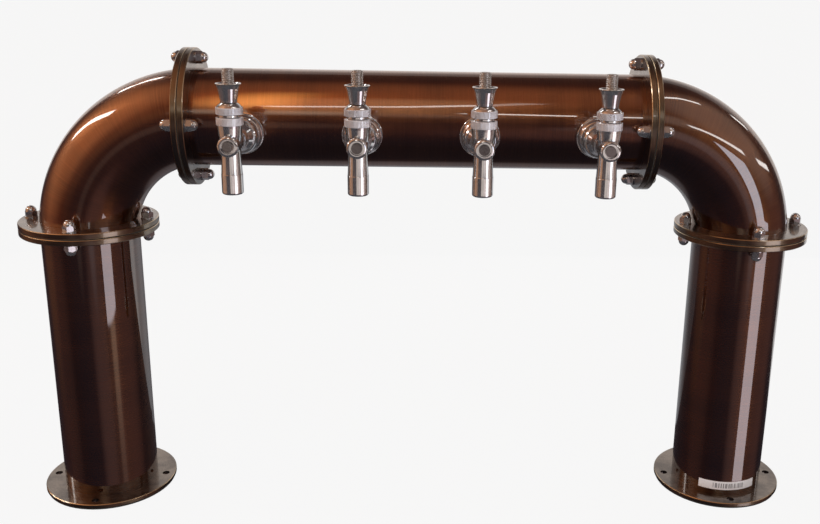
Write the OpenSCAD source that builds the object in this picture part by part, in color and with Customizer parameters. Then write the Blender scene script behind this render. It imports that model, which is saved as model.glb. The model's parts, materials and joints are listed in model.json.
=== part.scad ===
// Bridge-style beer tap tower: two columns and a crossbar of flanged tube, with four taps.
// Frame: X along the crossbar, -Y towards the person pouring, Z up.
// The origin is on the counter, midway between the two columns. All sizes are in millimetres.

/* [Tube] */
// outside diameter of every tube
tube_od = 88.9; // [86:0.1:92]
// wall thickness of every tube
tube_wall = 2; // [1.5:0.5:3]
// bend radius of the elbows, measured to the tube centre line
bend_r = 111; // [109:1:125]

/* [Tower] */
// distance from the middle to the axis of a column
column_x = 312; // [305:1:600]
// height of the crossbar axis above the counter
bar_z = 372.3; // [300:0.1:600]
// distance from an elbow's corner point to the middle of its joints
elbow_leg = 102.7; // [100:0.1:108]

/* [Flanges] */
// outside diameter of every flange
flange_od = 125.5; // [122:0.5:180]
// thickness of one joint flange
flange_t = 5.2; // [4:0.1:6]
// thickness of a base flange
base_flange_t = 4; // [3:0.5:10]
// thickness of the gasket between two joint flanges
gasket_t = 0.8; // [0.4:0.1:1.5]
// thickness of the rubber gasket under a base flange
base_gasket_t = 1.5; // [1:0.5:4]
// diameter of the bolt circle
bolt_circle = 108; // [103:0.5:112]
// number of bolts in one joint
bolt_count = 4; // [4:1:8]
// diameter of a mounting hole in the base flange
base_hole_d = 7; // [5:0.5:10]

/* [Joint bolts] */
// diameter of a joint stud
stud_d = 6; // [5:0.5:6]
// width across the flats of an acorn nut
nut_flats = 10; // [9:0.5:11]
// distance from the middle of a joint to the tip of an acorn nut
nut_reach = 16.8; // [16:0.1:20]
// diameter of a washer
washer_d = 12; // [11:0.5:14]
// thickness of a washer
washer_t = 1; // [0.5:0.1:2]

/* [Taps] */
// distance between two neighbouring taps
tap_pitch = 104.5; // [95:0.5:120]
// how far the middle of the row of taps sits to the right of the tower's middle
tap_row_shift = 1.5; // [-3:0.5:3]
// how far the tap shanks sit below the crossbar axis
shank_drop = 7.6; // [4:0.1:9]
// distance from the crossbar axis to the spout and lever axis
spout_reach = 103; // [102:0.5:105]
// distance from the crossbar axis to the front face of a tap
front_reach = 118; // [117:0.5:120]
// height of the lever pivot above the shank axis
pivot_h = 23.5; // [23:0.1:24]
// height of the top of the lever stud above the shank axis
lever_top = 62; // [56:0.5:80]
// diameter of the lever stud that a tap handle screws onto
lever_stud_d = 10; // [8:0.5:10]
// depth of the spout tip below the shank axis
spout_drop = 41.6; // [35:0.1:60]
// greatest tilt of a lever, in degrees
lever_tilt = 20; // [10:1:20]

/* [Lines] */
// outside diameter of a product line
line_od = 8; // [6:0.5:8.5]
// outside diameter of the cooling line
glycol_od = 10; // [8:0.5:11]
// wall thickness of every line
line_wall = 1.5; // [1:0.1:1.8]

/* [Stock label] */
// height of the label strip
label_h = 9; // [5:1:20]
// angle that the label covers round the column
label_arc = 76; // [30:1:120]

/* [Hidden] */
$fn = 64;
eps = 0.5;
tap_count = 4;
tube_r = tube_od / 2;
bore_r = tube_r - tube_wall;
half_joint = gasket_t / 2 + flange_t;
joint_z = bar_z - elbow_leg;
joint_x = column_x - elbow_leg;
bend_x = column_x - bend_r;
bend_z = bar_z - bend_r;
base_top = base_gasket_t + base_flange_t;
bolt_r = bolt_circle / 2;
bolt_hole_r = stud_d / 2 + 0.3;
nut_base = half_joint + washer_t;
nut_dome_r = nut_flats / 2 - 0.1;
nut_hex_h = nut_reach - nut_base - nut_dome_r;
shank_z = bar_z - shank_drop;
first_tap_x = tap_row_shift - tap_pitch * (tap_count - 1) / 2;
gasket_hole_r = stud_d / 2 + 1;

// tap body, measured along Y from the crossbar axis
barrel_r = 8.75;
barrel_edge_r = 2.4;
barrel_back_y = -82;
plug_recess_r = 5.7;
seat_y = -77;
thread_y = -68;
body_end_y = -60.2;
body_thread_r = 12.5;
plunger_bore_r = 4.2;
chamber_r = 7;
plug_seat_y = -115.5;
// tap body, measured up from the shank axis
collar_r = 10.9;
collar_low = 16.5;
collar_high = 22;
neck_r = 9;
neck_top = 25.5;
socket_r = 7;
socket_floor = 16.8;
spout_r = 8.25;
spout_tip_r = 8.9;
spout_step = 24.5;
spout_lip_r = 1.8;
spout_flare = 0.5;
spout_flare_top = 8;
spout_bore_r = 6.5;
spout_bore_top = 10;
spout_throat_r = 3.6;
// lever and bonnet
ball_r = 6.3;
neck_rod_r = 2.6;
tail_rod_r = 1.7;
tail_tip_r = 2.4;
stud_low = 38;
stud_shoulder_r = lever_stud_d / 2 + 0.4;
bonnet_low = 24.6;
bonnet_band_low = 25.8;
bonnet_band_top = 30;
dome_r = 12.8;
dome_inner_r = 10.6;
ferrule_low_r = 6.9;
ferrule_low = 33;
ferrule_top = 50;
ferrule_dish = 0.7;
// shank, nuts and escutcheon
shank_r = 11;
shank_bore_r = 4;
shank_front_y = -60;
shank_rear_y = -14;
shank_collar_r = 12.3;
coupling_r = 15.2;
coupling_front_y = -68;
coupling_rear_y = -55;
escutcheon_r = 18.1;
escutcheon_rim_y = -48;
tail_rear_y = -2;
// lines inside the tube
near_run_y = 14;
far_run_y = 30;
glycol_run_y = 16;
glycol_z = 388;
coupler_r = 7;
coupler_low = 22;
coupler_top = 56;
coupler_bore_depth = 15;
line_low = 40;

function tap_x(n) = first_tap_x + tap_pitch * (n - 1);

// Points along an arc about c, from one angle to another.
function arc(c, r, from, to, steps = 6) = [
    for (i = [0 : steps])
        let (a = from + (to - from) * i / steps) c + r * [cos(a), sin(a)]
];

// The spout's outline from its step up to where it is straight: it flares out downwards.
function spout_flare_points(steps = 6) = [
    for (i = [0 : steps])
        let (t = 1 - i / steps)
            [spout_r + spout_flare * t * t, -spout_flare_top - (spout_step - spout_flare_top) * t]
];

// A ring from z = 0 up to h.
module ring(outer, inner, h) {
    difference() {
        cylinder(r = outer, h = h);
        translate([0, 0, -eps]) cylinder(r = inner, h = h + 2 * eps);
    }
}

// Places its children with their Z axis along +Y.
module along_y() {
    rotate([-90, 0, 0]) children();
}

// Places its children with their Z axis along +X.
module along_x() {
    rotate([0, 90, 0]) children();
}

// Places its children on the joint at (x, z), with Z along the tube's axis there.
module at_lower_joint(side) {
    translate([side * column_x, 0, joint_z]) children();
}

module at_upper_joint(side) {
    translate([side * joint_x, 0, bar_z]) along_x() children();
}

module at_each_joint() {
    for (side = [-1, 1]) {
        at_lower_joint(side) children();
        at_upper_joint(side) children();
    }
}

module at_each_bolt() {
    for (i = [0 : bolt_count - 1])
        rotate([0, 0, i * 360 / bolt_count]) translate([bolt_r, 0, 0]) children();
}

// Places its children on the shank axis of tap n.
module at_tap(n) {
    translate([tap_x(n), 0, shank_z]) children();
}

module at_every_tap() {
    for (n = [1 : tap_count]) at_tap(n) children();
}

// A flange from z = 0 up to t, with its bolt holes and a rounded outer rim.
module flange(t, hole_r) {
    rim = 0.6;
    difference() {
        rotate_extrude()
            polygon([
                [bore_r, 0], [flange_od / 2 - rim, 0], [flange_od / 2, rim],
                [flange_od / 2, t - rim], [flange_od / 2 - rim, t], [bore_r, t]
            ]);
        at_each_bolt() translate([0, 0, -eps]) cylinder(r = hole_r, h = t + 2 * eps);
    }
}

module base_flange(side) {
    color([0.42, 0.33, 0.24])
        translate([side * column_x, 0, base_gasket_t]) flange(base_flange_t, base_hole_d / 2);
}

// above = 0 for the flange under a lower joint's middle, 1 for the one over it
module lower_joint_flange(side, above) {
    low = above ? gasket_t / 2 : -half_joint;
    color([0.42, 0.33, 0.24])
        at_lower_joint(side) translate([0, 0, low]) flange(flange_t, bolt_hole_r);
}

// inward = 1 for the crossbar's flange, 0 for the elbow's one
module upper_joint_flange(side, inward) {
    towards_plus_x = (side < 0) == (inward == 1);
    low = towards_plus_x ? gasket_t / 2 : -half_joint;
    color([0.42, 0.33, 0.24])
        at_upper_joint(side) translate([0, 0, low]) flange(flange_t, bolt_hole_r);
}

module column_tube(side) {
    color([0.28, 0.14, 0.1])
        translate([side * column_x, 0, base_top])
            ring(tube_r, bore_r, joint_z - half_joint - base_top);
}

// A quarter of a torus in the XZ plane, on the left side, cut level with the flange faces.
module elbow_tube(side) {
    face_x = joint_x + half_joint;
    face_z = joint_z + half_joint;
    block = 4 * bend_r;
    color([0.28, 0.14, 0.1])
        mirror([side > 0 ? 1 : 0, 0, 0])
            difference() {
                translate([-bend_x, 0, bend_z])
                    rotate([90, 0, 0])
                        rotate([0, 0, 90])
                            rotate_extrude(angle = 90)
                                translate([bend_r, 0])
                                    difference() {
                                        circle(r = tube_r);
                                        circle(r = bore_r);
                                    }
                translate([-face_x, -block / 2, 0]) cube(block);
                translate([-block, -block / 2, face_z - block]) cube(block);
            }
}

module crossbar_tube() {
    length = 2 * (joint_x - half_joint);
    color([0.28, 0.14, 0.1])
        difference() {
            translate([-length / 2, 0, bar_z]) along_x() ring(tube_r, bore_r, length);
            at_every_tap() translate([0, -tube_od, 0]) along_y() cylinder(r = shank_r + 0.2, h = tube_od);
        }
}

module base_gaskets() {
    color([0.1, 0.1, 0.1])
        for (side = [-1, 1])
            translate([side * column_x, 0, 0])
                difference() {
                    ring(flange_od / 2 - 1, bore_r, base_gasket_t);
                    at_each_bolt()
                        translate([0, 0, -eps])
                            cylinder(r = base_hole_d / 2 + 0.5, h = base_gasket_t + 2 * eps);
                }
}

module joint_gaskets() {
    set_back = 0.5;
    color([0.2, 0.15, 0.11])
        at_each_joint()
            translate([0, 0, -gasket_t / 2])
                difference() {
                    ring(flange_od / 2 - set_back, bore_r, gasket_t);
                    at_each_bolt()
                        translate([0, 0, -eps]) cylinder(r = gasket_hole_r, h = gasket_t + 2 * eps);
                }
}

module joint_studs() {
    reach = nut_reach - 2;
    color([0.6, 0.6, 0.6])
        at_each_joint()
            at_each_bolt()
                translate([0, 0, -reach]) cylinder(r = stud_d / 2 - 0.1, h = 2 * reach);
}

module joint_washers() {
    color([0.75, 0.75, 0.76])
        at_each_joint()
            at_each_bolt()
                for (turn = [0, 180])
                    rotate([turn, 0, 0])
                        translate([0, 0, half_joint]) ring(washer_d / 2, stud_d / 2 + 0.1, washer_t);
}

// An acorn nut that stands on z = 0, with its blind hole.
module acorn_nut() {
    corner_r = nut_flats / 2 / cos(30);
    dome_wall = 1.5;
    difference() {
        union() {
            intersection() {
                cylinder(r = corner_r, h = nut_hex_h, $fn = 6);
                cylinder(r1 = nut_flats / 2 + nut_hex_h, r2 = nut_flats / 2, h = nut_hex_h);
            }
            translate([0, 0, nut_hex_h]) sphere(r = nut_dome_r);
        }
        translate([0, 0, -nut_base]) cylinder(r = stud_d / 2, h = nut_reach - dome_wall);
        translate([0, 0, -2 * nut_dome_r]) cylinder(r = 2 * nut_dome_r, h = 2 * nut_dome_r);
    }
}

module acorn_nuts() {
    color([0.8, 0.8, 0.82])
        at_each_joint()
            at_each_bolt()
                for (turn = [0, 180])
                    rotate([turn, 0, 0]) translate([0, 0, nut_base]) acorn_nut();
}

// Everything that turns about the lever's axis stands here, with z up from the shank axis.
module at_lever(n) {
    at_tap(n) translate([0, -spout_reach, 0]) children();
}

// The room that the lever's tail sweeps as it tilts: a wedge below the pivot.
module tail_sweep() {
    half_w = 2.5;
    high = socket_floor + 0.7;
    low = 2;
    clear = 2.96;
    translate([-half_w, 0, 0])
        rotate([90, 0, 90])
            linear_extrude(2 * half_w)
                polygon([
                    [-half_w, high], [-half_w, low],
                    [(pivot_h - low) * tan(lever_tilt) + clear, low],
                    [(pivot_h - high) * tan(lever_tilt) + clear, high]
                ]);
}

module tap_body(n) {
    barrel_edge = [barrel_r - barrel_edge_r, -front_reach + barrel_edge_r];
    color([0.78, 0.78, 0.8])
        difference() {
            union() {
                at_tap(n)
                    along_y()
                        rotate_extrude()
                            polygon(concat(
                                [[0, -front_reach]],
                                arc(barrel_edge, barrel_edge_r, -90, 0),
                                [
                                    [barrel_r, barrel_back_y], [barrel_r + 1.2, thread_y - 6],
                                    [body_thread_r, thread_y - 0.5], [body_thread_r, body_end_y],
                                    [0, body_end_y]
                                ]
                            ));
                at_lever(n)
                    rotate_extrude()
                        polygon(concat(
                            [[0, -spout_drop]],
                            arc([spout_tip_r - spout_lip_r, spout_lip_r - spout_drop], spout_lip_r, -90, 0),
                            [[spout_tip_r, -spout_step - 0.3]],
                            spout_flare_points(),
                            [
                                [8.4, 2], [9.5, 8], [10.2, 14], [collar_r - 0.4, collar_low - 0.3],
                                [collar_r, collar_low], [collar_r, collar_high],
                                [collar_r - 1.2, collar_high + 1.2], [neck_r, collar_high + 1.2],
                                [neck_r, neck_top], [0, neck_top]
                            ]
                        ));
            }
            at_lever(n) {
                translate([0, 0, socket_floor]) cylinder(r = socket_r, h = pivot_h);
                translate([0, 0, -spout_drop - eps])
                    cylinder(r = spout_bore_r, h = spout_drop - spout_bore_top + eps);
                translate([0, 0, -spout_bore_top - eps])
                    cylinder(r = spout_throat_r, h = spout_bore_top + eps);
                tail_sweep();
            }
            at_tap(n)
                along_y() {
                    translate([0, 0, -front_reach - eps])
                        cylinder(r = plug_recess_r, h = front_reach + plug_seat_y + eps);
                    translate([0, 0, -front_reach]) cylinder(r = plunger_bore_r, h = 50);
                    translate([0, 0, seat_y]) cylinder(r = chamber_r, h = 30);
                }
        }
}

// The screwed cap that holds the lever's ball, with a domed top and a leaning hole for the neck.
module tap_bonnet(n) {
    hole_half_angle = 24.25;
    hole_lean = 9.75;
    cone_h = 20;
    color([0.78, 0.78, 0.8])
        at_lever(n)
            difference() {
                intersection() {
                    rotate_extrude()
                        polygon([
                            [0, bonnet_low], [collar_r - 1.1, bonnet_low], [collar_r, bonnet_band_low],
                            [collar_r, bonnet_band_top], [collar_r, pivot_h + dome_r + 1],
                            [0, pivot_h + dome_r + 1]
                        ]);
                    union() {
                        translate([0, 0, pivot_h]) sphere(r = dome_r);
                        cylinder(r = collar_r + 1, h = bonnet_band_top - 0.2);
                    }
                }
                translate([0, 0, bonnet_low - eps]) cylinder(r = neck_r + 0.1, h = 3.1 + eps);
                intersection() {
                    translate([0, 0, pivot_h]) sphere(r = dome_inner_r);
                    translate([0, 0, pivot_h + 3.5]) cylinder(r = 12, h = 12);
                }
                translate([0, 0, pivot_h])
                    rotate([hole_lean, 0, 0])
                        cylinder(r1 = 0.01, r2 = cone_h * tan(hole_half_angle), h = cone_h);
            }
}

module tap_friction_washer(n) {
    color([0.9, 0.9, 0.86])
        at_lever(n)
            difference() {
                translate([0, 0, neck_top + 0.1]) cylinder(r = neck_r - 0.1, h = 2);
                translate([0, 0, pivot_h]) sphere(r = ball_r + 0.3);
            }
}

// The lever: tail, ball and neck, then a plain shoulder in the ferrule and the stud for a handle.
module tap_lever(n) {
    chamfer = 0.9;
    stud_r = lever_stud_d / 2;
    shoulder_top = ferrule_top - ferrule_dish;
    color([0.6, 0.6, 0.62])
        at_lever(n) {
            translate([0, 0, pivot_h]) sphere(r = ball_r);
            sphere(r = tail_tip_r);
            cylinder(r = tail_rod_r, h = pivot_h);
            translate([0, 0, pivot_h]) cylinder(r = neck_rod_r, h = stud_low - pivot_h + eps);
            translate([0, 0, stud_low]) cylinder(r = stud_shoulder_r, h = shoulder_top - stud_low);
            translate([0, 0, shoulder_top - eps])
                cylinder(r = stud_r, h = lever_top - shoulder_top - chamfer + eps);
            translate([0, 0, lever_top - chamfer]) cylinder(r1 = stud_r, r2 = stud_r - chamfer, h = chamfer);
        }
}

// The flared collar that is pushed down over the lever's shoulder and hides the bonnet's hole.
module tap_ferrule(n) {
    under_r = dome_r + 0.4;
    color([0.8, 0.8, 0.82])
        at_lever(n)
            difference() {
                rotate_extrude()
                    polygon([
                        [0, ferrule_low], [ferrule_low_r, ferrule_low],
                        [ferrule_low_r, ferrule_low + 2.4], [ferrule_low_r + 0.1, ferrule_low + 4],
                        [7.85, 41.7], [8.8, 46], [9.7, 48.6], [10.5, ferrule_top - 0.3],
                        [10.4, ferrule_top], [9.6, ferrule_top], [8.6, ferrule_top - ferrule_dish],
                        [0, ferrule_top - ferrule_dish]
                    ]);
                translate([0, 0, pivot_h]) sphere(r = under_r);
                cylinder(r = stud_shoulder_r + 0.05, h = lever_top);
            }
}

module tap_plunger(n) {
    slot = 6;
    slot_floor = 2.9;
    color([0.7, 0.6, 0.4])
        at_tap(n)
            difference() {
                along_y()
                    rotate_extrude()
                        polygon([
                            [0, -109.6], [3.3, -109.6], [3.8, -109.1], [3.8, -96.5], [2.2, -95],
                            [2.2, -76.9], [1.7, -76.9], [1.7, -74.4], [4, -74.4], [4, -71.5],
                            [3.5, -71], [0, -71]
                        ]);
                translate([-slot / 2, -spout_reach - slot / 2, -slot_floor]) cube([slot, slot, 10]);
            }
}

module tap_seal(n) {
    color([0.12, 0.12, 0.12])
        at_tap(n)
            translate([0, seat_y + 0.1, 0]) along_y() ring(5.8, 1.75, 2.45);
}

// The domed cover plate, cut to sit on the crossbar.
module tap_escutcheon(n) {
    color([0.78, 0.78, 0.8])
        difference() {
            at_tap(n)
                along_y()
                    rotate_extrude()
                        polygon([
                            [shank_r + 0.2, -30], [escutcheon_r, -30],
                            [escutcheon_r, escutcheon_rim_y + 0.3],
                            [escutcheon_r - 0.3, escutcheon_rim_y], [escutcheon_r - 0.9, escutcheon_rim_y],
                            [17, -49.8], [16.5, -51.6], [15.6, -53.4], [14.4, -54.6],
                            [13.6, coupling_rear_y - 0.1], [shank_r + 0.2, coupling_rear_y - 0.1]
                        ]);
            translate([tap_x(n) - 40, 0, bar_z]) along_x() cylinder(r = tube_r + 0.05, h = 80);
        }
}

module front_plugs() {
    color([0.5, 0.48, 0.45])
        at_every_tap()
            along_y()
                rotate_extrude()
                    polygon([
                        [0, -117.6], [4.3, -117.6], [4.6, -117.3], [4.6, plug_seat_y - 0.1],
                        [plunger_bore_r - 0.05, plug_seat_y - 0.1], [plunger_bore_r - 0.05, -111],
                        [0, -111]
                    ]);
}

// The nuts that pull each tap body onto its shank, with six spanner holes.
module coupling_nuts() {
    color([0.76, 0.76, 0.78])
        at_every_tap()
            difference() {
                along_y()
                    rotate_extrude()
                        polygon([
                            [body_thread_r + 0.1, coupling_front_y], [13.6, coupling_front_y],
                            [14.6, coupling_front_y + 1.4], [coupling_r, coupling_front_y + 3.4],
                            [coupling_r, coupling_rear_y - 0.6], [coupling_r - 0.6, coupling_rear_y - 0.1],
                            [shank_r + 0.2, coupling_rear_y - 0.1], [shank_r + 0.2, coupling_rear_y - 2.3],
                            [body_thread_r + 0.1, coupling_rear_y - 2.3]
                        ]);
                for (i = [0 : 5])
                    translate([0, (coupling_front_y + coupling_rear_y) / 2 + 0.5, 0])
                        rotate([0, i * 60 + 30, 0]) translate([0, 0, 13.8]) cylinder(r = 2, h = 5);
            }
}

module shanks() {
    color([0.76, 0.76, 0.78])
        at_every_tap()
            along_y()
                rotate_extrude()
                    polygon([
                        [shank_bore_r, shank_front_y], [shank_collar_r, shank_front_y],
                        [shank_collar_r, -57.5], [shank_r, -57.4], [shank_r, shank_rear_y - 1],
                        [shank_r - 1, shank_rear_y], [shank_bore_r, shank_rear_y]
                    ]);
}

// The nuts inside the crossbar, cut round to bear on the tube's inner wall.
module shank_nuts() {
    nut_r = 15;
    color([0.7, 0.6, 0.35])
        intersection() {
            at_every_tap()
                difference() {
                    union() {
                        translate([0, -45, 0]) along_y() cylinder(r = nut_r, h = 13);
                        translate([0, -33, 0]) along_y() cylinder(r = nut_r, h = 6, $fn = 6);
                    }
                    translate([0, -50, 0]) along_y() cylinder(r = shank_r + 0.05, h = 40);
                }
            translate([-joint_x, 0, bar_z]) along_x() cylinder(r = bore_r - 0.05, h = 2 * joint_x);
        }
}

module tailpieces() {
    stem_r = line_od / 2 - line_wall - 0.05;
    color([0.74, 0.74, 0.76])
        at_every_tap()
            along_y()
                difference() {
                    union() {
                        translate([0, 0, shank_rear_y + 0.1]) cylinder(r = 9.8, h = 4, $fn = 6);
                        translate([0, 0, shank_rear_y + 4]) cylinder(r = 5.5, h = 3);
                        translate([0, 0, shank_rear_y + 6]) cylinder(r = stem_r, h = 6);
                    }
                    translate([0, 0, shank_rear_y - eps]) cylinder(r = 1.5, h = 20);
                }
}

// One straight stretch of line from z = 0 up to h.
module line_straight(od, h) {
    ring(od / 2, od / 2 - line_wall, h);
}

// A quarter bend about the Z axis, from the +X direction round to the +Y direction.
module line_bend(od, r) {
    rotate_extrude(angle = 90)
        translate([r, 0])
            difference() {
                circle(r = od / 2);
                circle(r = od / 2 - line_wall);
            }
}

// A line on the left side: along the crossbar from start_x, round the elbow and down the column.
module line_run(od, start_x, run_y, run_z) {
    r = run_z - bend_z;
    translate([-bend_x, run_y, run_z]) along_x() line_straight(od, start_x + bend_x);
    translate([-bend_x, run_y, bend_z]) rotate([90, 0, 0]) rotate([0, 0, 90]) line_bend(od, r);
    translate([-bend_x - r, run_y, line_low]) line_straight(od, bend_z - line_low);
}

// A product line from a tailpiece at x, back and round to the run along the crossbar.
module product_line(x, run_y) {
    back_y = shank_rear_y + 7.1;
    turn = 14;
    translate([x, back_y, shank_z]) along_y() line_straight(line_od, run_y - turn - back_y);
    translate([x - turn, run_y - turn, shank_z]) line_bend(line_od, turn);
    line_run(line_od, x - turn, run_y, shank_z);
}

module push_coupler(x, y) {
    translate([x, y, coupler_low])
        difference() {
            cylinder(r = coupler_r, h = coupler_top - coupler_low);
            translate([0, 0, -eps]) cylinder(r = line_od / 2, h = coupler_bore_depth + eps);
            translate([0, 0, line_low - coupler_low - 0.1]) cylinder(r = line_od / 2 + 0.05, h = 40);
            translate([0, 0, -eps]) cylinder(r = 2, h = 40);
        }
}

// The four product lines: two go down each column, and each ends in a push-fit coupler.
// The right-hand pair is drawn on the left and mirrored.
module product_lines() {
    run_x = bend_x + shank_z - bend_z;
    color([0.85, 0.85, 0.82])
        for (side = [0, 1])
            mirror([side, 0, 0]) {
                product_line(side ? -tap_x(4) : tap_x(1), near_run_y);
                product_line(side ? -tap_x(3) : tap_x(2), far_run_y);
                push_coupler(-run_x, near_run_y);
                push_coupler(-run_x, far_run_y);
            }
}

// The cooling line: up the left column, along the crossbar and down the right column.
module glycol_line() {
    color([0.25, 0.35, 0.6])
        for (side = [0, 1]) mirror([side, 0, 0]) line_run(glycol_od, 0, glycol_run_y, glycol_z);
}

// A plain white stock strip round the front of the right column.
module stock_label() {
    label_t = 0.3;
    label_low = 10;
    color([0.93, 0.93, 0.92])
        translate([column_x, 0, label_low])
            rotate([0, 0, -90 - label_arc / 2])
                rotate_extrude(angle = label_arc)
                    translate([tube_r + 0.02, 0]) square([label_t, label_h]);
}

base_flange(-1);  // left_base_flange
column_tube(-1);  // left_column_tube
lower_joint_flange(-1, 0);  // left_column_top_flange
lower_joint_flange(-1, 1);  // left_elbow_lower_flange
elbow_tube(-1);  // left_elbow_tube
upper_joint_flange(-1, 0);  // left_elbow_upper_flange
upper_joint_flange(-1, 1);  // crossbar_left_flange
crossbar_tube();
upper_joint_flange(1, 1);  // crossbar_right_flange
upper_joint_flange(1, 0);  // right_elbow_upper_flange
elbow_tube(1);  // right_elbow_tube
lower_joint_flange(1, 1);  // right_elbow_lower_flange
lower_joint_flange(1, 0);  // right_column_top_flange
column_tube(1);  // right_column_tube
base_flange(1);  // right_base_flange
base_gaskets();
joint_gaskets();
joint_studs();
joint_washers();
acorn_nuts();
for (n = [1 : tap_count]) {
    tap_body(n);
    tap_bonnet(n);
    tap_friction_washer(n);
    tap_lever(n);
    tap_ferrule(n);
    tap_plunger(n);
    tap_seal(n);
    tap_escutcheon(n);
}
front_plugs();
coupling_nuts();
shanks();
shank_nuts();
tailpieces();
product_lines();
glycol_line();
stock_label();
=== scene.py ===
import json
import math

import bmesh
import bpy
from mathutils import Matrix, Vector


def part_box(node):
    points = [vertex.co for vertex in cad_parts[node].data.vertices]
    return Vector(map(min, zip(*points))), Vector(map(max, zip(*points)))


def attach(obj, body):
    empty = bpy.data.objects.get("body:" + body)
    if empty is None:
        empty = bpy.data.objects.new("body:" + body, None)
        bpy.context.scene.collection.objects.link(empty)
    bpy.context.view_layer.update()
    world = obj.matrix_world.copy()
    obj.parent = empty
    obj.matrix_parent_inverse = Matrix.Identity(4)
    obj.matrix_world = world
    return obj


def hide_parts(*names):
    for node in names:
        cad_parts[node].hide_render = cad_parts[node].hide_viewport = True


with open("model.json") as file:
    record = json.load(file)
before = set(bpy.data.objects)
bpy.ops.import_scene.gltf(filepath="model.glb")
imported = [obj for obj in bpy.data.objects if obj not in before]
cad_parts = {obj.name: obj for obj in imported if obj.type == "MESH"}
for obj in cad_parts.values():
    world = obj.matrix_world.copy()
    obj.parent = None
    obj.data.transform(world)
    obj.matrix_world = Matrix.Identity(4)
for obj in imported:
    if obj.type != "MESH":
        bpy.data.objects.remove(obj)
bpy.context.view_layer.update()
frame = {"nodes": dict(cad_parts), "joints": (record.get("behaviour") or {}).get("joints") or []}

# ---------------------------------------------------------------- places, in metres, from the frame

bar_low, bar_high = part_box("crossbar_tube")
column_low, column_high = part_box("right_column_tube")
BAR_Z = (bar_high.z + bar_low.z) / 2
COLUMN_X = (column_high.x + column_low.x) / 2
# the radius of the elbows' middle line, and the lever's pivot over the middle of its shank
BEND_R = 0.111
BEND_X = COLUMN_X - BEND_R
BEND_Z = BAR_Z - BEND_R

# the lever axes, one for each tap, from left to right
LEVER_JOINTS = sorted(
    (joint for joint in frame["joints"] if joint["type"] == "hinge"),
    key=lambda joint: joint["pos_m"][0],
)
PIVOT_ABOVE_SHANK = 0.0235
MM = 0.001


# ---------------------------------------------------------------- a short way to write node trees

class Graph:
    """Adds nodes to one tree. Each call returns the new node's output, to feed the next call."""

    def __init__(self, tree):
        self.tree = tree
        tree.nodes.clear()

    def node(self, kind, **settings):
        made = self.tree.nodes.new(kind)
        for name, value in settings.items():
            setattr(made, name, value)
        return made

    def feed(self, socket, value):
        if isinstance(value, bpy.types.NodeSocket):
            self.tree.links.new(value, socket)
        else:
            socket.default_value = value

    def math(self, operation, *values):
        made = self.node("ShaderNodeMath", operation=operation)
        for socket, value in zip(made.inputs, values):
            self.feed(socket, value)
        return made.outputs[0]

    def vector_math(self, operation, *values):
        made = self.node("ShaderNodeVectorMath", operation=operation)
        for socket, value in zip(made.inputs, values):
            self.feed(socket, value)
        return made.outputs["Value"] if operation == "DOT_PRODUCT" else made.outputs[0]

    def length(self, a, b):
        """The length of the flat vector (a, b)."""
        squares = [self.math("MULTIPLY", value, value) for value in (a, b)]
        return self.math("SQRT", self.math("ADD", *squares))

    def scaled(self, vector, factor):
        made = self.node("ShaderNodeVectorMath", operation="SCALE")
        self.feed(made.inputs[0], vector)
        self.feed(made.inputs["Scale"], factor)
        return made.outputs[0]

    def split(self, vector):
        made = self.node("ShaderNodeSeparateXYZ")
        self.feed(made.inputs[0], vector)
        return made.outputs

    def join(self, x, y, z):
        made = self.node("ShaderNodeCombineXYZ")
        for socket, value in zip(made.inputs, (x, y, z)):
            self.feed(socket, value)
        return made.outputs[0]

    def smooth(self, value, low, high, to_low=0.0, to_high=1.0):
        """Rises smoothly from to_low at low to to_high at high."""
        made = self.node("ShaderNodeMapRange", interpolation_type="SMOOTHSTEP")
        numbers = {"From Min": low, "From Max": high, "To Min": to_low, "To Max": to_high}
        for name, number in numbers.items():
            made.inputs[name].default_value = number
        self.feed(made.inputs["Value"], value)
        return made.outputs["Result"]

    def noise(self, vector, scale, detail=2.0, roughness=0.5):
        made = self.node("ShaderNodeTexNoise")
        self.feed(made.inputs["Vector"], vector)
        made.inputs["Scale"].default_value = scale
        made.inputs["Detail"].default_value = detail
        made.inputs["Roughness"].default_value = roughness
        return made.outputs["Fac"]

    def mix(self, factor, first, second):
        made = self.node("ShaderNodeMix", data_type="RGBA")
        self.feed(made.inputs["Factor"], factor)
        sockets = [s for s in made.inputs if s.type == "RGBA"]
        for socket, value in zip(sockets, (first, second)):
            self.feed(socket, value if isinstance(value, bpy.types.NodeSocket) else (*value, 1.0))
        return next(s for s in made.outputs if s.type == "RGBA")

    def bump(self, height, distance, strength=1.0):
        made = self.node("ShaderNodeBump")
        made.inputs["Strength"].default_value = strength
        made.inputs["Distance"].default_value = distance
        self.feed(made.inputs["Height"], height)
        return made.outputs["Normal"]


def new_material(name):
    """A material with an empty tree, its Principled shader and the graph to write it with."""
    material = bpy.data.materials.new(name)
    material.use_nodes = True
    graph = Graph(material.node_tree)
    shader = graph.node("ShaderNodeBsdfPrincipled")
    output = graph.node("ShaderNodeOutputMaterial")
    graph.tree.links.new(shader.outputs[0], output.inputs["Surface"])
    return material, graph, shader


def set_numbers(shader, **numbers):
    """Sets the shader's own sockets; an underscore in a name stands for a space."""
    for name, number in numbers.items():
        shader.inputs[name.replace("_", " ")].default_value = number


def place(graph):
    """The point on the object, in the row frame."""
    return graph.node("ShaderNodeTexCoord").outputs["Object"]


# ---------------------------------------------------------------- materials

COPPER_DARK = Vector((0.150, 0.050, 0.018))
COPPER_MID = Vector((0.300, 0.106, 0.034))
COPPER_BRIGHT = Vector((0.430, 0.158, 0.054))
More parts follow.
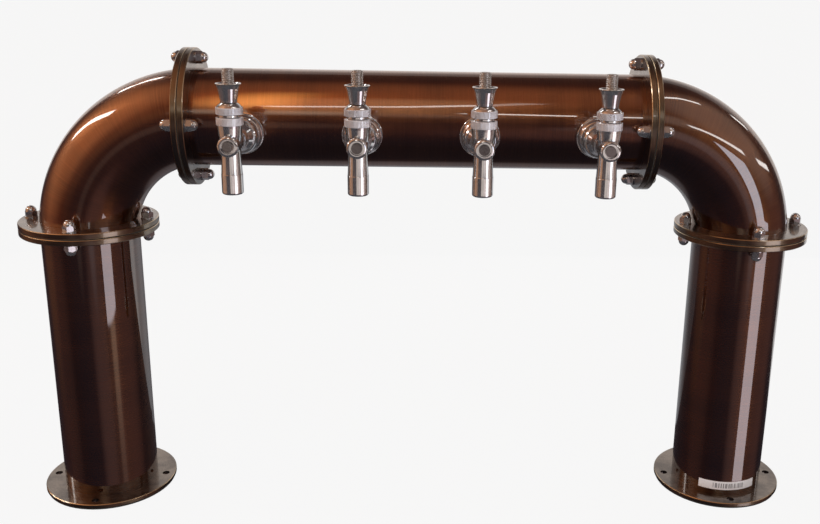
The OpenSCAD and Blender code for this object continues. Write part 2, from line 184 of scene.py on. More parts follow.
# how light each part's copper is painted, a painted shading that makes lit and shaded copies of one copper,
# how rough, and how strongly its lacquer mirrors
CROSSBAR_SHADING_AND_FINISH = (1.0, 0.30, 2.1)
LEFT_ELBOW_SHADING_AND_FINISH = (0.90, 0.36, 2.1)
RIGHT_ELBOW_SHADING_AND_FINISH = (0.62, 0.40, 2.2)
COLUMN_SHADING_AND_FINISH = (0.50, 0.42, 2.3)

# brush lines: noise cells to a metre along the tube and across it, and the noise's detail
FINE_LINES = (2600.0, 26.0, 2.0)
MIDDLE_LINES = (700.0, 16.0, 2.0)
BROAD_LINES = (60.0, 10.0, 3.0)
PATINA_SCALE = 14.0
# how far the brush lines turn to bright copper, and how much they change the roughness each way
POLISH = 0.32
BRUSH_SPREAD = 0.03
BRUSH_DEPTH = 0.01 * MM
LACQUER_ROUGHNESS = 0.03


def copper(name, shading_and_finish, across, axis):
    """Antique copper under clear lacquer. across(graph, x, y, z) gives the coordinates that the brush
    lines follow: the first runs along the tube, the other two lie in its round section.
    axis(graph, x, y, z) gives the direction along the tube."""
    painted_shading, roughness, coat_ior = shading_and_finish
    material, graph, shader = new_material(name)
    x, y, z = graph.split(place(graph))[:3]
    along, side_a, side_b = across(graph, x, y, z)

    def lines(frequency, drift, detail):
        vector = graph.join(
            graph.math("MULTIPLY", along, frequency),
            graph.math("MULTIPLY", side_a, drift),
            graph.math("MULTIPLY", side_b, drift),
        )
        return graph.noise(vector, 1.0, detail)

    fine, middle, broad = lines(*FINE_LINES), lines(*MIDDLE_LINES), lines(*BROAD_LINES)
    cloud = graph.noise(graph.join(along, side_a, side_b), PATINA_SCALE, 3.0, 0.55)
    grain = graph.math("ADD", graph.math("MULTIPLY", fine, 0.6), graph.math("MULTIPLY", middle, 0.4))
    patina = graph.math("ADD", graph.math("MULTIPLY", broad, 0.4), graph.math("MULTIPLY", cloud, 0.6))
    # painted shading: the patina's and the brush lines' colours are scaled by the part's painted tone, so the
    # tubes are lit and shaded copies of one copper
    colour = graph.mix(graph.smooth(patina, 0.30, 0.70), COPPER_DARK * painted_shading, COPPER_MID * painted_shading)
    polished = graph.smooth(grain, 0.44, 0.66, 0.0, POLISH)
    colour = graph.mix(polished, colour, COPPER_BRIGHT * painted_shading)
    graph.feed(shader.inputs["Base Color"], colour)
    gloss = graph.smooth(grain, 0.3, 0.7, roughness + BRUSH_SPREAD, roughness - BRUSH_SPREAD)
    graph.feed(shader.inputs["Roughness"], gloss)
    graph.feed(shader.inputs["Normal"], graph.bump(grain, BRUSH_DEPTH, 0.25))
    graph.feed(shader.inputs["Tangent"], axis(graph, x, y, z))
    set_numbers(shader, Metallic=1.0, Anisotropic=0.3)
    set_numbers(shader, Coat_Weight=1.0, Coat_Roughness=LACQUER_ROUGHNESS, Coat_IOR=coat_ior)
    return material


def copper_of_crossbar():
    return copper(
        "antique_copper_crossbar", CROSSBAR_SHADING_AND_FINISH,
        lambda graph, x, y, z: (x, y, z),
        lambda graph, x, y, z: graph.join(1.0, 0.0, 0.0),
    )


def copper_of_columns():
    return copper(
        "antique_copper_columns", COLUMN_SHADING_AND_FINISH,
        lambda graph, x, y, z: (z, x, y),
        lambda graph, x, y, z: graph.join(0.0, 0.0, 1.0),
    )


def copper_of_elbow(side):
    """side is -1 for the left elbow and 1 for the right one."""

    def from_centre(graph, x, z):
        out = graph.math("SUBTRACT", graph.math("MULTIPLY", x, side), BEND_X)
        up = graph.math("SUBTRACT", z, BEND_Z)
        return out, up, graph.length(out, up)

    def across(graph, x, y, z):
        out, up, radius = from_centre(graph, x, z)
        along = graph.math("MULTIPLY", graph.math("ARCTAN2", up, out), BEND_R)
        return along, graph.math("SUBTRACT", radius, BEND_R), y

    def axis(graph, x, y, z):
        out, up, radius = from_centre(graph, x, z)
        return graph.join(
            graph.math("MULTIPLY", graph.math("DIVIDE", up, radius), -side),
            0.0,
            graph.math("DIVIDE", out, radius),
        )

    if side < 0:
        return copper("antique_copper_elbow_left", LEFT_ELBOW_SHADING_AND_FINISH, across, axis)
    return copper("antique_copper_elbow_right", RIGHT_ELBOW_SHADING_AND_FINISH, across, axis)


BRASS_DARK = (0.070, 0.050, 0.036)
BRASS_MID = (0.235, 0.190, 0.150)
BRASS_RIM_SHADING = (0.250, 0.185, 0.115)
BRASS_EDGE_HIGHLIGHT = (0.620, 0.480, 0.300)
# how far the rim's painted shading and the edges' painted highlight reach over the face
RIM_SHADING_REACH = 1.2 * MM
EDGE_HIGHLIGHT_REACH = 0.45 * MM
# noise cells to a metre across the brushed circles and along them, and in the stains
CIRCLE_SCALE = 1500.0
CIRCLE_DRIFT = 14.0
STAIN_SCALE = 38.0


def antique_brass(name, node, upright):
    """Flange brass, brushed in circles about the flange's axis: grey-brown on its faces, with painted shading
    in a golden brown on the rim and a painted highlight along the rim's edges. upright says that the axis is
    vertical; otherwise it is along X."""
    material, graph, shader = new_material(name)
    low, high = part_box(node)
    outer = (high.y - low.y) / 2
    x, y, z = graph.split(graph.vector_math("SUBTRACT", place(graph), (low + high) / 2))[:3]
    across, along = (x, z) if upright else (z, x)
    half = ((high.z - low.z) if upright else (high.x - low.x)) / 2
    radius = graph.length(across, y)
    rings = graph.noise(graph.join(
        graph.math("MULTIPLY", radius, CIRCLE_SCALE),
        graph.math("MULTIPLY", along, CIRCLE_SCALE),
        graph.math("MULTIPLY", across, CIRCLE_DRIFT),
    ), 1.0, 3.0)
    cloud = graph.noise(place(graph), STAIN_SCALE, 4.0, 0.62)
    face = graph.mix(graph.smooth(cloud, 0.32, 0.68), BRASS_DARK, BRASS_MID)
    # painted shading: the rim and the face next to it are painted a golden brown of their own for how light
    # falls on the flange's edge
    rim = graph.smooth(radius, outer - RIM_SHADING_REACH, outer - 0.3 * MM)
    colour = graph.mix(graph.math("MULTIPLY", rim, 0.8), face, BRASS_RIM_SHADING)
    # painted highlight: a bright band along the rim's edges, broken up by the stains
    from_face = graph.math("SUBTRACT", half, graph.math("ABSOLUTE", along))
    near_rim = graph.smooth(radius, outer - EDGE_HIGHLIGHT_REACH * 1.5, outer - EDGE_HIGHLIGHT_REACH)
    near_face = graph.smooth(from_face, EDGE_HIGHLIGHT_REACH * 1.6, EDGE_HIGHLIGHT_REACH * 0.8)
    edge = graph.math("MULTIPLY", near_rim, near_face)
    edge_highlight = graph.math("MULTIPLY", edge, graph.smooth(cloud, 0.25, 0.60, 0.45, 1.0))
    colour = graph.mix(edge_highlight, colour, BRASS_EDGE_HIGHLIGHT)
    graph.feed(shader.inputs["Base Color"], colour)
    graph.feed(shader.inputs["Roughness"], graph.smooth(rings, 0.3, 0.7, 0.38, 0.26))
    graph.feed(shader.inputs["Normal"], graph.bump(rings, 0.02 * MM, 0.3))
    set_numbers(shader, Metallic=1.0, Coat_Weight=0.8, Coat_Roughness=0.06, Coat_IOR=1.8)
    return material


def metal(name, dark, light, rough_low, rough_high, scale, metallic=1.0):
    """Plain metal with slight smudges in its colour and gloss, and scratches finer than they are."""
    material, graph, shader = new_material(name)
    smudge = graph.noise(place(graph), scale, 4.0, 0.6)
    scratch = graph.noise(place(graph), scale * 14, 2.0)
    graph.feed(shader.inputs["Base Color"], graph.mix(graph.smooth(smudge, 0.3, 0.7), dark, light))
    graph.feed(shader.inputs["Roughness"], graph.smooth(smudge, 0.3, 0.72, rough_low, rough_high))
    graph.feed(shader.inputs["Normal"], graph.bump(scratch, 0.01 * MM, 0.3))
    set_numbers(shader, Metallic=metallic)
    return material


def rubber(name, dark, light):
    material, graph, shader = new_material(name)
    grit = graph.noise(place(graph), 900.0, 3.0)
    graph.feed(shader.inputs["Base Color"], graph.mix(grit, dark, light))
    graph.feed(shader.inputs["Roughness"], graph.smooth(grit, 0.3, 0.7, 0.55, 0.8))
    graph.feed(shader.inputs["Normal"], graph.bump(grit, 0.1 * MM, 0.4))
    return material


def plastic(name, dark, light, gloss):
    material, graph, shader = new_material(name)
    haze = graph.noise(place(graph), 60.0, 3.0)
    graph.feed(shader.inputs["Base Color"], graph.mix(haze, dark, light))
    graph.feed(shader.inputs["Roughness"], graph.smooth(haze, 0.3, 0.7, gloss, gloss + 0.15))
    graph.feed(shader.inputs["Normal"], graph.bump(haze, 0.2 * MM, 0.1))
    return material


# half the width and half the height of the bars' block on the white strip
BARS_HALF_WIDTH = 15.5 * MM
BARS_HALF_HEIGHT = 2.6 * MM


def label_paper():
    """White paper with a block of plain grey bars of uneven width, which spell nothing."""
    material, graph, shader = new_material("label_paper")
    low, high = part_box("stock_label")
    middle = (low + high) / 2
    x, _, z = graph.split(place(graph))[:3]
    bars = graph.noise(graph.join(graph.math("MULTIPLY", x, 900.0), 0.0, 0.0), 1.0, 0.0)

    def within(value, centre, half):
        off = graph.math("ABSOLUTE", graph.math("SUBTRACT", value, centre))
        return graph.math("LESS_THAN", off, half)

    in_block = graph.math("MULTIPLY",
                          within(x, middle.x, BARS_HALF_WIDTH),
                          within(z, middle.z, BARS_HALF_HEIGHT))
    ink = graph.math("MULTIPLY", graph.smooth(bars, 0.47, 0.53), in_block)
    fibre = graph.noise(place(graph), 700.0, 3.0)
    paper = graph.mix(fibre, (0.74, 0.74, 0.76), (0.86, 0.86, 0.87))
    printed = graph.mix(graph.math("MULTIPLY", ink, 0.8), paper, (0.10, 0.10, 0.11))
    graph.feed(shader.inputs["Base Color"], printed)
    set_numbers(shader, Roughness=0.45, Coat_Weight=0.3, Coat_Roughness=0.1)
    return material


# ---------------------------------------------------------------- meshes

def piece(name, vertices, faces, material, smooth=True):
    mesh = bpy.data.meshes.new(name)
    mesh.from_pydata(vertices, [], faces)
    mesh.materials.append(material)
    mesh.update()
    for polygon in mesh.polygons:
        polygon.use_smooth = smooth
    made = bpy.data.objects.new(name, mesh)
    bpy.context.scene.collection.objects.link(made)
    return made


def ring_point(centre, radius, angle, height):
    return centre + Vector((radius * math.cos(angle), radius * math.sin(angle), height))


def band(ring, following, segments):
    """The faces between two rings of vertices."""
    a, b = ring * segments, following * segments
    afters = [(step + 1) % segments for step in range(segments)]
    return [(a + step, a + after, b + after, b + step) for step, after in enumerate(afters)]


def turned(name, heights, radius_at, centre, segments, material):
    """A closed solid of revolution about a vertical axis at centre. radius_at(height, turn) gives its
    radius, with turn from 0 to 1 round the axis. The first and the last height are its end points."""
    vertices = []
    for height in heights[1:-1]:
        for step in range(segments):
            turn = step / segments
            radius = radius_at(height, turn)
            vertices.append(ring_point(centre, radius, 2 * math.pi * turn, height))
    rings = len(heights) - 2
    faces = []
    for ring in range(rings - 1):
        faces += band(ring, ring + 1, segments)
    bottom, top = len(vertices), len(vertices) + 1
    vertices.append(centre + Vector((0, 0, heights[0])))
    vertices.append(centre + Vector((0, 0, heights[-1])))
    last = (rings - 1) * segments
    for step in range(segments):
        after = (step + 1) % segments
        faces.append((bottom, after, step))
        faces.append((top, last + step, last + after))
    return piece(name, vertices, faces, material)


# the lever's radii, and the heights of its stud and thread over the pivot
LEVER_BALL_R = 6.3 * MM
LEVER_NECK_R = 2.5 * MM
LEVER_TAIL_R = 1.7 * MM
LEVER_TIP_R = 2.4 * MM
STUD_R = 5.0 * MM
STUD_LOW = 14.5 * MM
STUD_TOP = 38.5 * MM
SHOULDER_R = 5.4 * MM
THREAD_LOW = 25.8 * MM
THREAD_PITCH = 1.5 * MM
THREAD_DEPTH = 0.8 * MM
# half a groove's width as a share of the pitch
GROOVE_HALF = 0.42
STUD_CHAMFER = 0.9 * MM
LEVER_SEGMENTS = 40
BALL_RINGS = 16
RINGS_IN_A_PITCH = 8
# half the height in which the neck widens to the shoulder, and the top's rise to its middle point
SHOULDER_STEP = 0.05 * MM
TOP_RISE = 0.0001 * MM


def lever_radius(height, turn):
    """The lever's outline, with height from its pivot: tip ball, tail, ball, neck and threaded stud."""
    tip = height + PIVOT_ABOVE_SHANK
    radius = LEVER_TAIL_R if height < 0 else LEVER_NECK_R
    if abs(tip) < LEVER_TIP_R:
        radius = max(radius if tip > 0 else 0.0, math.sqrt(LEVER_TIP_R ** 2 - tip ** 2))
    if abs(height) < LEVER_BALL_R:
        radius = max(radius, math.sqrt(LEVER_BALL_R ** 2 - height ** 2))
    if height > STUD_LOW:
        radius = SHOULDER_R
    if height > THREAD_LOW:
        radius = STUD_R
        phase = (height / THREAD_PITCH - turn) % 1.0
        groove = 1.0 - min(1.0, abs(phase - 0.5) / GROOVE_HALF)
        fade = min(1.0, (height - THREAD_LOW) / THREAD_PITCH)
        radius -= THREAD_DEPTH * groove * fade
        radius = min(radius, STUD_R - STUD_CHAMFER + (STUD_TOP - height))
    return radius


def lever_heights():
    """Ring heights: close together on the balls and the thread, far apart on the straight stretches."""
    ball_steps = [math.cos(math.pi * i / BALL_RINGS) for i in range(BALL_RINGS + 1)]
    heights = [-PIVOT_ABOVE_SHANK - LEVER_TIP_R * c for c in ball_steps]
    heights += [-LEVER_BALL_R * c for c in ball_steps if abs(c) < 0.995]
    heights += [STUD_LOW - SHOULDER_STEP, STUD_LOW + SHOULDER_STEP, THREAD_LOW]
    count = int((STUD_TOP - THREAD_LOW) / (THREAD_PITCH / RINGS_IN_A_PITCH))
    heights += [THREAD_LOW + (STUD_TOP - THREAD_LOW) * i / count for i in range(1, count + 1)]
    heights += [STUD_TOP + TOP_RISE]
    return sorted(heights)


def threaded_lever(index, joint, material):
    node = f"tap_{index}_lever"
    made = turned(node + "_threaded", lever_heights(), lever_radius, Vector(joint["pos_m"]),
                  LEVER_SEGMENTS, material)
    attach(made, f"tap_{index}_handle")
    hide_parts(node)


# the knurled bands of each tap, with their lowest and highest heights from the lever's pivot
KNURL_BANDS = (("bonnet", 1.65 * MM, 7.35 * MM), ("collar", -7.25 * MM, -1.05 * MM))
KNURL_R = 10.9 * MM
KNURL_RIBS = 66
KNURL_HEIGHT = 0.22 * MM
KNURL_BEVEL = 0.35 * MM
# how far the band's ends lie below its radius, and how far it goes into the part
KNURL_END = 0.05 * MM
KNURL_ROOT = 0.6 * MM
# one rib's heights round the band, and the height that lies on the band's radius
RIB = (0.0, 0.7, 1.0, 0.7)
RIB_MIDDLE = 0.35


def knurled_ring(name, centre, low, high, material):
    """A closed band of upright ribs round a vertical axis, with its ends bevelled into the part below."""
    root, end = KNURL_R - KNURL_ROOT, KNURL_R - KNURL_END
    # the band's section, as radius and height; None stands for the ribs
    profile = [(root, low), (end, low), (None, low + KNURL_BEVEL),
               (None, high - KNURL_BEVEL), (end, high), (root, high)]
    segments = KNURL_RIBS * len(RIB)
    vertices = []
    for plain_radius, height in profile:
        for step in range(segments):
            rib = RIB[step % len(RIB)]
            radius = plain_radius if plain_radius else KNURL_R + KNURL_HEIGHT * (rib - RIB_MIDDLE)
            vertices.append(ring_point(centre, radius, 2 * math.pi * step / segments, height))
    faces = []
    for ring in range(len(profile)):
        faces += band(ring, (ring + 1) % len(profile), segments)
    made = piece(name, vertices, faces, material, smooth=False)
    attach(made, "root")
    return made


# ---------------------------------------------------------------- looks of the carried CAD nodes

def give(node, material):
    mesh = frame["nodes"][node].data
    mesh.materials.clear()
    mesh.materials.append(material)


def dress_frame():
    give("crossbar_tube", copper_of_crossbar())
    columns = copper_of_columns()
    for side, sign in (("left", -1), ("right", 1)):
        give(f"{side}_column_tube", columns)
        give(f"{side}_elbow_tube", copper_of_elbow(sign))
        for name in ("base_flange", "column_top_flange", "elbow_lower_flange"):
            node = f"{side}_{name}"
            give(node, antique_brass("antique_brass_" + node, node, upright=True))
        for node in (f"{side}_elbow_upper_flange", f"crossbar_{side}_flange"):
            give(node, antique_brass("antique_brass_" + node, node, upright=False))


def dress_details(chrome, steel, thread_steel):
    black = rubber("black_rubber", (0.010, 0.010, 0.010), (0.030, 0.029, 0.028))
    inner_brass = metal("inner_brass", (0.45, 0.32, 0.14), (0.62, 0.46, 0.22), 0.22, 0.38, 120.0)
    plug_metal = metal("plug_metal", (0.40, 0.38, 0.36), (0.52, 0.50, 0.48), 0.16, 0.28, 160.0,
                       metallic=0.9)
    acetal = plastic("natural_acetal", (0.70, 0.70, 0.66), (0.80, 0.80, 0.77), 0.35)
    line = plastic("product_line", (0.62, 0.64, 0.62), (0.78, 0.80, 0.78), 0.25)
    cooling = plastic("cooling_line", (0.10, 0.16, 0.30), (0.15, 0.22, 0.38), 0.30)
    same_for_all = {
        "base_gaskets": black,
        "joint_gaskets": rubber("joint_gasket", (0.020, 0.017, 0.014), (0.050, 0.042, 0.034)),
        "joint_studs": steel,
        "joint_washers": chrome,
        "acorn_nuts": chrome,
        "front_plugs": plug_metal,
        "coupling_nuts": chrome,
        "shanks": chrome,
        "shank_nuts": inner_brass,
        "tailpieces": steel,
        "product_lines": line,
        "glycol_line": cooling,
        "stock_label": label_paper(),
    }
    for node, material in same_for_all.items():
        give(node, material)
    for index in range(1, len(LEVER_JOINTS) + 1):
        for part in ("body", "bonnet", "ferrule", "escutcheon"):
            give(f"tap_{index}_{part}", chrome)
        give(f"tap_{index}_friction_washer", acetal)
        give(f"tap_{index}_plunger", inner_brass)
        give(f"tap_{index}_seal", black)
        give(f"tap_{index}_lever", thread_steel)


def make_tap_details(satin, thread_steel):
    """Threads and knurling. Returns the knurled bands."""
    knurls = []
    for index, joint in enumerate(LEVER_JOINTS, 1):
        threaded_lever(index, joint, thread_steel)
        for part, low, high in KNURL_BANDS:
            name = f"tap_{index}_{part}_knurl"
            knurls.append(knurled_ring(name, Vector(joint["pos_m"]), low, high, satin))
    return knurls


# ---------------------------------------------------------------- camera, floor and light

SENSOR_MM = 36.0
LENS_MM = 42.13
CAMERA_SHIFT = (-0.0646, -0.0141)
CAMERA_AT = (0.0050, -0.8947, 0.5031)
# in radians: the turn from +Y to the right, the look down, and the roll
CAMERA_TURN = (0.042, 0.280, 0.020)
FLOOR_R = 30.0


def add_camera():
    data = bpy.data.cameras.new("camera")
    data.sensor_fit = "HORIZONTAL"
    data.sensor_width = SENSOR_MM
    data.lens = LENS_MM
    data.shift_x, data.shift_y = CAMERA_SHIFT
    data.clip_end = 2 * FLOOR_R
    camera = bpy.data.objects.new("camera", data)
    bpy.context.scene.collection.objects.link(camera)
    yaw, down, roll = CAMERA_TURN
    forward = Vector((math.sin(yaw) * math.cos(down), math.cos(yaw) * math.cos(down), -math.sin(down)))
    level_right = Vector((math.cos(yaw), -math.sin(yaw), 0.0))
    level_up = level_right.cross(forward)
    right = math.cos(roll) * level_right + math.sin(roll) * level_up
    up = -math.sin(roll) * level_right + math.cos(roll) * level_up
    turn = Matrix((right, up, -forward)).transposed().to_4x4()
    camera.matrix_world = Matrix.Translation(CAMERA_AT) @ turn
    bpy.context.scene.camera = camera


# the plain background, the floor's own grey, and how much of the floor's light comes from that grey
PALE = 0.9216
FLOOR_GREY = 0.03
FLOOR_LIT = 0.010


def add_floor():
    """A pale floor disc, as light as the background and kept out of the metal's reflections."""
    material, graph, shader = new_material("pale_floor")
    speckle = graph.noise(place(graph), 30.0, 2.0)
    grey = (FLOOR_GREY,) * 3
    graph.feed(shader.inputs["Base Color"], graph.mix(speckle, grey, [1.05 * value for value in grey]))
    shader.inputs["Emission Color"].default_value = (1.0, 1.0, 1.0, 1.0)
    set_numbers(shader, Roughness=1.0, Emission_Strength=PALE - FLOOR_LIT, Specular_IOR_Level=0.0)
    mesh = bpy.data.meshes.new("floor")
    shape = bmesh.new()
    bmesh.ops.create_circle(shape, cap_ends=True, radius=FLOOR_R, segments=64)
    shape.to_mesh(mesh)
    shape.free()
    mesh.materials.append(material)
    floor = bpy.data.objects.new("floor", mesh)
    bpy.context.scene.collection.objects.link(floor)
    floor.visible_glossy = False


def direction(azimuth, elevation):
    """Azimuth in degrees from +Y towards +X, elevation above the horizon."""
    a, e = math.radians(azimuth), math.radians(elevation)
    return Vector((math.sin(a) * math.cos(e), math.cos(a) * math.cos(e), math.sin(e)))


class Sky:
    """The studio round the tower, written as soft patches of light by direction."""

    def __init__(self, graph):
        self.graph = graph
        towards = graph.node("ShaderNodeTexCoord").outputs["Generated"]
        self.towards = graph.vector_math("NORMALIZE", towards)
        self.z = graph.split(self.towards)[2]
        self.total = None

    def add(self, mask, colour):
        layer = self.graph.scaled(tuple(colour), mask)
        self.total = self.graph.vector_math("ADD", self.total, layer) if self.total else layer

    def base(self, below, level, above):
        up = self.graph.smooth(self.z, 0.0, 0.9)
        down = self.graph.smooth(self.z, 0.0, -0.5)
        self.add(1.0, level)
        self.add(up, [a - b for a, b in zip(above, level)])
        self.add(down, [a - b for a, b in zip(below, level)])

    def glow(self, azimuth, elevation, inner, outer, colour):
        """A round patch, full within inner degrees of its centre and gone beyond outer."""
        dot = self.graph.vector_math("DOT_PRODUCT", self.towards, direction(azimuth, elevation))
        mask = self.graph.smooth(dot, math.cos(math.radians(outer)), math.cos(math.radians(inner)))
        self.add(mask, colour)

    def tube(self, start, end, half_width, soft, colour):
        """A long patch from one direction to another, half_width degrees to each side of its line. soft is
        the share of that width over which its edges fade."""
        a, b = direction(*start), direction(*end)
        across = a.cross(b).normalized()
        middle = (a + b).normalized()
        edge = math.sin(math.radians(half_width))
        off = self.graph.math("ABSOLUTE", self.graph.vector_math("DOT_PRODUCT", self.towards, across))
        thin = self.graph.smooth(off, edge * (1 + soft), edge * (1 - soft))
        reach = math.acos(middle.dot(a))
        fade = math.radians(half_width) * soft
        far, near = math.cos(reach + fade), math.cos(max(reach - fade, 0.0))
        along = self.graph.smooth(self.graph.vector_math("DOT_PRODUCT", self.towards, middle), far, near)
        self.add(self.graph.math("MULTIPLY", thin, along), colour)


def light_card(name, centre, facing, half_width, low, high, colour_at, clear=False):
    """An upright card of light that shines to one side only, hidden from the camera. facing is the
    azimuth it shines towards, low and high are heights, and colour_at(graph, place on the card) gives
    its colour there. A clear card adds its light to what is behind it and hides nothing."""
    out = direction(facing, 0)
    aside = Vector((-out.y, out.x, 0.0)) * half_width
    foot, top = Vector((*centre, low)), Vector((*centre, high))
    corners = [foot - aside, foot + aside, top + aside, top - aside]
    if (corners[1] - corners[0]).cross(corners[3] - corners[0]).dot(out) < 0:
        corners.reverse()
    material = bpy.data.materials.new(name)
    material.use_nodes = True
    graph = Graph(material.node_tree)
    shine = graph.node("ShaderNodeEmission")
    behind = graph.node("ShaderNodeNewGeometry").outputs["Backfacing"]
    colour = colour_at(graph, place(graph))
    graph.feed(shine.inputs["Color"], graph.mix(behind, colour, (0.0, 0.0, 0.0)))
    output = graph.node("ShaderNodeOutputMaterial")
    if clear:
        both = graph.node("ShaderNodeAddShader")
        graph.feed(both.inputs[0], shine.outputs[0])
        graph.feed(both.inputs[1], graph.node("ShaderNodeBsdfTransparent").outputs[0])
        graph.feed(output.inputs["Surface"], both.outputs[0])
    else:
        graph.feed(output.inputs["Surface"], shine.outputs[0])
    card = piece(name, corners, [(0, 1, 2, 3)], material, smooth=False)
    card.visible_camera = False
    card.visible_shadow = False
    return card


# the cards' middles in plan; the cut window stands 20 mm behind the other, so that they don't coincide
WINDOW_AT = (2.233, -2.108)
CUT_WINDOW_AT = (2.246, -2.123)
WINDOW_TOP_AT = (2.05, -2.27)
WINDOW_FACING = -41
WINDOW_HALF_WIDTH = 0.69
WALL_AT = (0.20, 0.82)
WARM_CARD_AT = (-0.213, -0.302)

# cards round the taps: name, azimuth, half width in degrees and colour
TAP_CARD_AWAY = 1.5
TAP_CARDS = (
    ("cream_card", 150, 45, (0.56, 0.50, 0.45)),
    ("brown_card", -92, 32, (0.26, 0.13, 0.06)),
    ("tan_card", 70, 28, (0.17, 0.13, 0.10)),
)


def window_colour(graph, spot):
    high = graph.smooth(graph.split(spot)[2], -0.60, 0.0)
    return graph.mix(high, (1.70, 1.50, 1.60), (1.95, 2.05, 2.35))


def wall_colour(graph, spot):
    """The wall behind: dark at the low left, pale at the right and above, and dim at its top."""
    x, _, z = graph.split(spot)[:3]
    low = graph.mix(graph.smooth(x, -0.45, 0.20), (0.105, 0.095, 0.105), (0.34, 0.35, 0.37))
    low = graph.mix(graph.smooth(x, 0.50, 0.90), low, (0.75, 0.74, 0.74))
    wall = graph.mix(graph.smooth(z, 0.15, 0.30), low, (0.78, 0.71, 0.67))
    return graph.mix(graph.smooth(z, 0.60, 1.10), wall, (0.26, 0.23, 0.22))


def low_window_colour(graph, spot):
    """The window with its lower part cut off, and the brown floor light that is left below the cut."""
    x, _, z = graph.split(spot)[:3]
    off = graph.math("ABSOLUTE", graph.math("SUBTRACT", x, WINDOW_AT[0]))
    lit = graph.mix(graph.smooth(z, -1.00, -1.75), (0.50, 0.32, 0.22), (0.20, 0.12, 0.095))
    lit = graph.mix(graph.smooth(off, 0.12, 0.40), lit, (0.045, 0.022, 0.018))
    return graph.mix(graph.smooth(z, -0.985, -0.95), lit, window_colour(graph, spot))


def warm_colour(graph, spot):
    """A warm glow that fades to both sides, upwards and at its foot."""
    x, _, z = graph.split(spot)[:3]
    off = graph.math("ABSOLUTE", graph.math("SUBTRACT", x, WARM_CARD_AT[0]))
    upper = graph.math("MULTIPLY", graph.smooth(z, 1.30, 0.60), graph.smooth(off, 0.090, 0.0))
    full = graph.math("MULTIPLY", upper, graph.smooth(z, 0.48, 0.62))
    return graph.mix(full, (0.0, 0.0, 0.0), (2.4, 1.15, 0.28))


def light_only(cards, name, receivers):
    """Lets these cards light nothing but the receivers."""
    collection = bpy.data.collections.new(name)
    for receiver in receivers:
        collection.objects.link(receiver)
    for card in cards:
        card.light_linking.receiver_collection = collection


def add_light_cards(knurls):
    """A window to the front right and a wall behind. The left column sees a window of its own, with its
    lower part cut off. Cream, brown and tan cards light only the taps, and a warm one only the crossbar."""
    nodes = frame["nodes"]
    left_column = nodes["left_column_tube"]
    meshes = [made for made in bpy.context.scene.objects if made.type == "MESH"]
    others = [made for made in meshes if made != left_column]
    window = light_card("window", WINDOW_AT, WINDOW_FACING, WINDOW_HALF_WIDTH, -1.60, -0.10,
                        window_colour, clear=True)
    light_only([window], "all_but_left_column", others)
    cut_window = light_card("cut_window", CUT_WINDOW_AT, WINDOW_FACING, WINDOW_HALF_WIDTH, -1.90, -0.10,
                            low_window_colour, clear=True)
    light_only([cut_window], "left_column_only", [left_column])
    light_card("window_top", WINDOW_TOP_AT, WINDOW_FACING, 0.46, -0.10, 0.85, window_colour)
    light_card("back_wall", WALL_AT, 180, 1.24, -0.33, 1.28, wall_colour)

    bodies = [nodes[f"tap_{index}_body"] for index in range(1, len(LEVER_JOINTS) + 1)]
    cards = []
    for name, azimuth, half_angle, colour in TAP_CARDS:
        away = direction(azimuth, 0) * TAP_CARD_AWAY
        half_width = TAP_CARD_AWAY * math.tan(math.radians(half_angle))
        cards.append(light_card(name, away[:2], azimuth + 180, half_width, -0.25, 0.22,
                                lambda graph, spot, colour=colour: colour, clear=True))
    light_only(cards, "taps_only", bodies + knurls)

    warm = light_card("warm_card", WARM_CARD_AT, 16, 0.10, 0.46, 1.30, warm_colour, clear=True)
    light_only([warm], "crossbar_only", [nodes["crossbar_tube"]])


LAMP = Vector((1.0, 0.97, 0.94))
# the share of a lamp's or a long patch's width over which its edges fade
LAMP_SOFT = 0.35
PATCH_SOFT = 0.9
# the light below, level with and above the tower, where nothing else shines
SKY_BELOW = (0.023, 0.021, 0.028)
SKY_LEVEL = (0.048, 0.032, 0.034)
SKY_ABOVE = (0.062, 0.036, 0.034)

# the lamp tubes: where each starts and ends by direction, its half width in degrees and its brightness
LAMPS = (
    ((-169, 33.3), (-179, 37.5), 1.3, 3.1),
    ((-179, 37.5), (175, 43.5), 1.1, 3.1),
    ((175, 43.5), (170, 49.5), 1.0, 1.1),
    ((177.5, 23.8), (166, 18.5), 1.1, 4.4),
    ((128, 64.5), (101, 60), 1.3, 4.6),
    ((101, 60), (88, 51), 1.3, 4.6),
    ((154, 17), (121, 18.2), 1.3, 4.2),
    ((101, 17), (79, 12), 1.4, 4.2),
    ((59, 30), (56, 21), 1.6, 4.2),
    ((-74, 20), (-83, 30), 2.1, 9.0),
    ((-83, 30), (-106, 38.5), 2.1, 9.0),
    ((-46, 31), (-37, 46), 2.1, 9.0),
)

# long soft patches: start, end, half width and colour
PATCHES = (
    ((-174, 22), (-176, 54), 7.0, (0.55, 0.36, 0.20)),
    ((-163, 19), (-173, 20), 5.0, (0.70, 0.60, 0.46)),
    ((-172, 18), (176, 16), 4.5, (0.20, 0.17, 0.14)),
)

# soft patches: azimuth, elevation, full within, gone beyond, colour
GLOWS = (
    (-150, 66, 10, 40, (0.28, 0.12, 0.05)),
    (159, 20, 2, 12, (0.24, 0.22, 0.20)),
    (163, -9, 3, 11, (0.14, 0.135, 0.145)),
    (-168, -9, 3, 10, (0.12, 0.08, 0.06)),
    (180, -22, 10, 45, (0.004, 0.005, 0.010)),
    (-78, 0, 8, 28, (0.15, 0.060, 0.022)),
    (-138, 15, 6, 26, (0.15, 0.070, 0.034)),
    (-100, 30, 15, 45, (0.60, 0.27, 0.11)),
    (-104, -20, 5, 26, (0.05, 0.022, 0.014)),
    (112, 36, 15, 40, (0.38, 0.28, 0.22)),
    (100, -14, 8, 34, (0.12, 0.05, 0.035)),
    (160, -21, 4, 22, (0.14, 0.07, 0.055)),
    (0, -50, 8, 22, (0.15, 0.14, 0.145)),
)


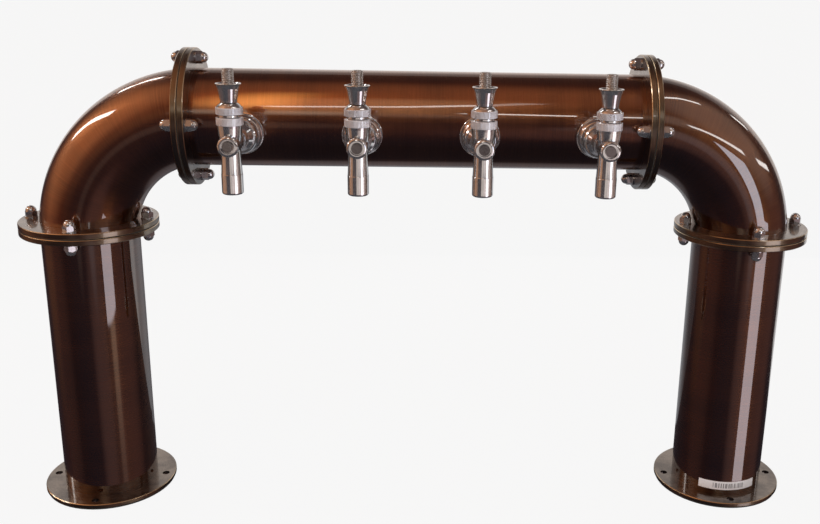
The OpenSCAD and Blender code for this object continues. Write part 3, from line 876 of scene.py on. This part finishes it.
def add_sky():
    """The studio light by direction, with the plain background for what the camera sees."""
    world = bpy.data.worlds.new("studio")
    bpy.context.scene.world = world
    world.use_nodes = True
    graph = Graph(world.node_tree)
    sky = Sky(graph)
    sky.base(SKY_BELOW, SKY_LEVEL, SKY_ABOVE)
    for glow in GLOWS:
        sky.glow(*glow)
    for start, end, half_width, brightness in LAMPS:
        sky.tube(start, end, half_width, LAMP_SOFT, LAMP * brightness)
    for start, end, half_width, colour in PATCHES:
        sky.tube(start, end, half_width, PATCH_SOFT, colour)
    studio = graph.node("ShaderNodeBackground")
    graph.feed(studio.inputs["Color"], sky.total)
    plain = graph.node("ShaderNodeBackground")
    plain.inputs["Color"].default_value = (PALE, PALE, PALE, 1.0)
    choose = graph.node("ShaderNodeMixShader")
    graph.feed(choose.inputs["Fac"], graph.node("ShaderNodeLightPath").outputs["Is Camera Ray"])
    graph.tree.links.new(studio.outputs[0], choose.inputs[1])
    graph.tree.links.new(plain.outputs[0], choose.inputs[2])
    output = graph.node("ShaderNodeOutputWorld")
    graph.tree.links.new(choose.outputs[0], output.inputs["Surface"])
    world.cycles.sampling_method = "MANUAL"
    world.cycles.sample_map_resolution = 2048


KEY_AT = Vector((-1.2, -2.0, 2.6))
KEY_AIM = Vector((0.0, 0.0, 0.2))
KEY_SIZE = 2.0
KEY_WATTS = 30.0


def add_key_light():
    """A broad soft light that the glossy metal doesn't mirror."""
    data = bpy.data.lights.new("key", "AREA")
    data.shape = "SQUARE"
    data.size = KEY_SIZE
    data.energy = KEY_WATTS
    light = bpy.data.objects.new("key", data)
    bpy.context.scene.collection.objects.link(light)
    light.location = KEY_AT
    light.rotation_euler = (KEY_AIM - KEY_AT).to_track_quat("-Z", "Y").to_euler()
    light.visible_glossy = False


def main():
    chrome = metal("bright_chrome", (0.60, 0.60, 0.61), (0.72, 0.72, 0.73), 0.07, 0.15, 90.0,
                   metallic=0.92)
    satin = metal("satin_chrome", (0.68, 0.68, 0.72), (0.80, 0.80, 0.84), 0.26, 0.36, 90.0,
                  metallic=0.7)
    steel = metal("bolt_steel", (0.42, 0.41, 0.41), (0.56, 0.55, 0.55), 0.20, 0.34, 150.0)
    thread_steel = metal("lever_steel", (0.50, 0.48, 0.46), (0.62, 0.60, 0.58), 0.28, 0.40, 150.0,
                         metallic=0.85)
    dress_frame()
    dress_details(chrome, steel, thread_steel)
    knurls = make_tap_details(satin, thread_steel)
    add_camera()
    add_floor()
    add_light_cards(knurls)
    add_sky()
    add_key_light()
    bpy.context.scene.view_settings.view_transform = "Standard"


main()
